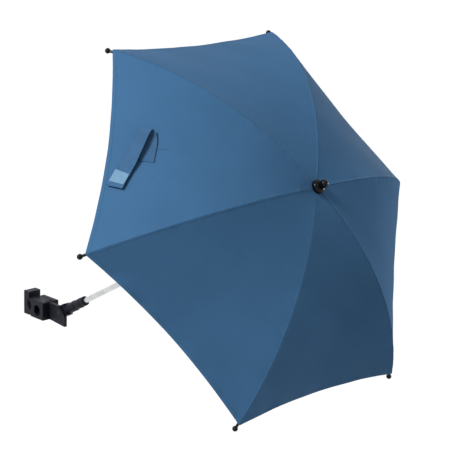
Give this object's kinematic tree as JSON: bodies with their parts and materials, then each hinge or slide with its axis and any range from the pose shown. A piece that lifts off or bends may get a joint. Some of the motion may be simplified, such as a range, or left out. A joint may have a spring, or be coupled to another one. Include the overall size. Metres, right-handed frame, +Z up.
{
  "type": "pram parasol",
  "caption": "Folding pram parasol: a domed cloth canopy on hinged ribs and stretchers, a sliding runner, a tube shaft, a tilting joint and a screw clamp for a pram tube.",
  "frame": {"origin": "on the axis of the pram tube held in the clamp, midway along the clamp pads", "axes": "+Z up along the shaft toward the finial, +Y along the pram tube, +X toward the side the clamp leans to"},
  "size_m": [0.6128, 0.7064, 0.811],
  "materials": {
    "canopy_cloth": "plain weave",
    "strap_cloth": "woven tape",
    "tab_cloth": "woven tape",
    "rib_steel": "zinc plated",
    "tube_metal": "satin",
    "black_plastic": "moulded",
    "gloss_black": "polished",
    "grey_nylon": "moulded",
    "pad_rubber": "soft",
    "fastener_steel": "zinc plated",
    "dark_steel": "black oxide"
  },
  "bodies": {
    "clamp": {"clamp_body": "black_plastic", "body_pad": "pad_rubber", "tilt_bolt": "dark_steel", "tilt_nut": "dark_steel", "friction_washers": "grey_nylon"},
    "jaw": {"clamp_jaw": "black_plastic", "jaw_pad": "pad_rubber", "jaw_spindle": "fastener_steel"},
    "thumb_nut": {"thumb_nut": "black_plastic"},
    "shaft": {"ferrule": "black_plastic", "ferrule_pin": "dark_steel", "shaft_tube": "tube_metal", "crown": "black_plastic", "crown_wire": "fastener_steel", "crown_pin": "fastener_steel", "top_washer": "pad_rubber", "finial": "gloss_black"},
    "catch": {"runner_catch": "fastener_steel"},
    "runner": {"runner": "black_plastic"},
    "rib_1": {"rib_1": "rib_steel", "rib_rivet_1": "fastener_steel", "rib_tip_1": "gloss_black", "canopy_panel_1": "canopy_cloth"},
    "stretcher_1": {"stretcher_1": "rib_steel"},
    "rib_2": {"rib_2": "rib_steel", "rib_rivet_2": "fastener_steel", "rib_tip_2": "gloss_black", "canopy_panel_2": "canopy_cloth"},
    "stretcher_2": {"stretcher_2": "rib_steel"},
    "rib_3": {"rib_3": "rib_steel", "rib_rivet_3": "fastener_steel", "rib_tip_3": "gloss_black", "canopy_panel_3": "canopy_cloth"},
    "stretcher_3": {"stretcher_3": "rib_steel"},
    "rib_4": {"rib_4": "rib_steel", "rib_rivet_4": "fastener_steel", "rib_tip_4": "gloss_black", "canopy_panel_4": "canopy_cloth"},
    "stretcher_4": {"stretcher_4": "rib_steel"},
    "rib_5": {"rib_5": "rib_steel", "rib_rivet_5": "fastener_steel", "rib_tip_5": "gloss_black", "canopy_panel_5": "canopy_cloth"},
    "stretcher_5": {"stretcher_5": "rib_steel"},
    "rib_6": {"rib_6": "rib_steel", "rib_rivet_6": "fastener_steel", "rib_tip_6": "gloss_black", "canopy_panel_6": "canopy_cloth", "closing_strap": "strap_cloth", "strap_tab": "tab_cloth"},
    "stretcher_6": {"stretcher_6": "rib_steel"}
  },
  "joints": [
    {"name": "thumb_nut_turn", "type": "hinge", "parent": "clamp", "child": "thumb_nut", "pos_m": [0.02537, 0, 0.01595], "axis": [0.5, 0, 0.866], "range_deg": [-181, 901]},
    {"name": "jaw_slide", "type": "slide", "parent": "clamp", "child": "jaw", "axis": [-0.5, 0, -0.866], "range_m": [-0.002, 0.01]},
    {"name": "tilt", "type": "hinge", "parent": "clamp", "child": "shaft", "pos_m": [0.035, 0.0135, 0.06062], "axis": [0, 1, 0], "range_deg": [-60, 90]},
    {"name": "catch_press", "type": "slide", "parent": "shaft", "child": "catch", "axis": [-1, 0, 0], "range_m": [0, 0.002], "stiffness_N_per_m": 900, "springref_m": -0.002},
    {"name": "runner_slide", "type": "slide", "parent": "shaft", "child": "runner", "axis": [0, 0, -1], "range_m": [0, 0.18593], "deforming": ["canopy_panel_1", "canopy_panel_2", "canopy_panel_3", "canopy_panel_4", "canopy_panel_5", "canopy_panel_6", "closing_strap", "strap_tab"]},
    {"name": "rib_1_fold", "type": "hinge", "parent": "shaft", "child": "rib_1", "pos_m": [0.02591, 0.00825, 0.75502], "axis": [0.5, -0.866, 0], "range_deg": [-0.2, 65.82]},
    {"name": "rib_2_fold", "type": "hinge", "parent": "shaft", "child": "rib_2", "pos_m": [0.02591, 0.01875, 0.75502], "axis": [-0.5, -0.866, 0], "range_deg": [-0.2, 65.82]},
    {"name": "rib_3_fold", "type": "hinge", "parent": "shaft", "child": "rib_3", "pos_m": [0.035, 0.024, 0.75502], "axis": [-1, 0, 0], "range_deg": [-0.2, 65.82]},
    {"name": "rib_4_fold", "type": "hinge", "parent": "shaft", "child": "rib_4", "pos_m": [0.04409, 0.01875, 0.75502], "axis": [-0.5, 0.866, 0], "range_deg": [-0.2, 65.82]},
    {"name": "rib_5_fold", "type": "hinge", "parent": "shaft", "child": "rib_5", "pos_m": [0.04409, 0.00825, 0.75502], "axis": [0.5, 0.866, 0], "range_deg": [-0.2, 65.82]},
    {"name": "rib_6_fold", "type": "hinge", "parent": "shaft", "child": "rib_6", "pos_m": [0.035, 0.003, 0.75502], "axis": [1, 0, 0], "range_deg": [-0.2, 65.82]},
    {"name": "stretcher_1_fold", "type": "hinge", "parent": "rib_1", "child": "stretcher_1", "pos_m": [-0.09393, -0.06094, 0.73684], "axis": [0.5, -0.866, 0], "range_deg": [-109.53, 0.2]},
    {"name": "stretcher_2_fold", "type": "hinge", "parent": "rib_2", "child": "stretcher_2", "pos_m": [-0.09393, 0.08794, 0.73684], "axis": [-0.5, -0.866, 0], "range_deg": [-109.53, 0.2]},
    {"name": "stretcher_3_fold", "type": "hinge", "parent": "rib_3", "child": "stretcher_3", "pos_m": [0.035, 0.16238, 0.73684], "axis": [-1, 0, 0], "range_deg": [-109.53, 0.2]},
    {"name": "stretcher_4_fold", "type": "hinge", "parent": "rib_4", "child": "stretcher_4", "pos_m": [0.16393, 0.08794, 0.73684], "axis": [-0.5, 0.866, 0], "range_deg": [-109.53, 0.2]},
    {"name": "stretcher_5_fold", "type": "hinge", "parent": "rib_5", "child": "stretcher_5", "pos_m": [0.16393, -0.06094, 0.73684], "axis": [0.5, 0.866, 0], "range_deg": [-109.53, 0.2]},
    {"name": "stretcher_6_fold", "type": "hinge", "parent": "rib_6", "child": "stretcher_6", "pos_m": [0.035, -0.13538, 0.73684], "axis": [1, 0, 0], "range_deg": [-109.53, 0.2]}
  ],
  "couplings": [
    {"joint": "thumb_nut_turn", "follows": "jaw_slide", "rad_per_m": 1570.8},
    {"joint": "rib_1_fold", "follows": "runner_slide", "rad_per_m": 6.1596},
    {"joint": "rib_2_fold", "follows": "runner_slide", "rad_per_m": 6.1596},
    {"joint": "rib_3_fold", "follows": "runner_slide", "rad_per_m": 6.1596},
    {"joint": "rib_4_fold", "follows": "runner_slide", "rad_per_m": 6.1596},
    {"joint": "rib_5_fold", "follows": "runner_slide", "rad_per_m": 6.1596},
    {"joint": "rib_6_fold", "follows": "runner_slide", "rad_per_m": 6.1596},
    {"joint": "stretcher_1_fold", "follows": "runner_slide", "rad_per_m": -10.263},
    {"joint": "stretcher_2_fold", "follows": "runner_slide", "rad_per_m": -10.263},
    {"joint": "stretcher_3_fold", "follows": "runner_slide", "rad_per_m": -10.263},
    {"joint": "stretcher_4_fold", "follows": "runner_slide", "rad_per_m": -10.263},
    {"joint": "stretcher_5_fold", "follows": "runner_slide", "rad_per_m": -10.263},
    {"joint": "stretcher_6_fold", "follows": "runner_slide", "rad_per_m": -10.263}
  ]
}
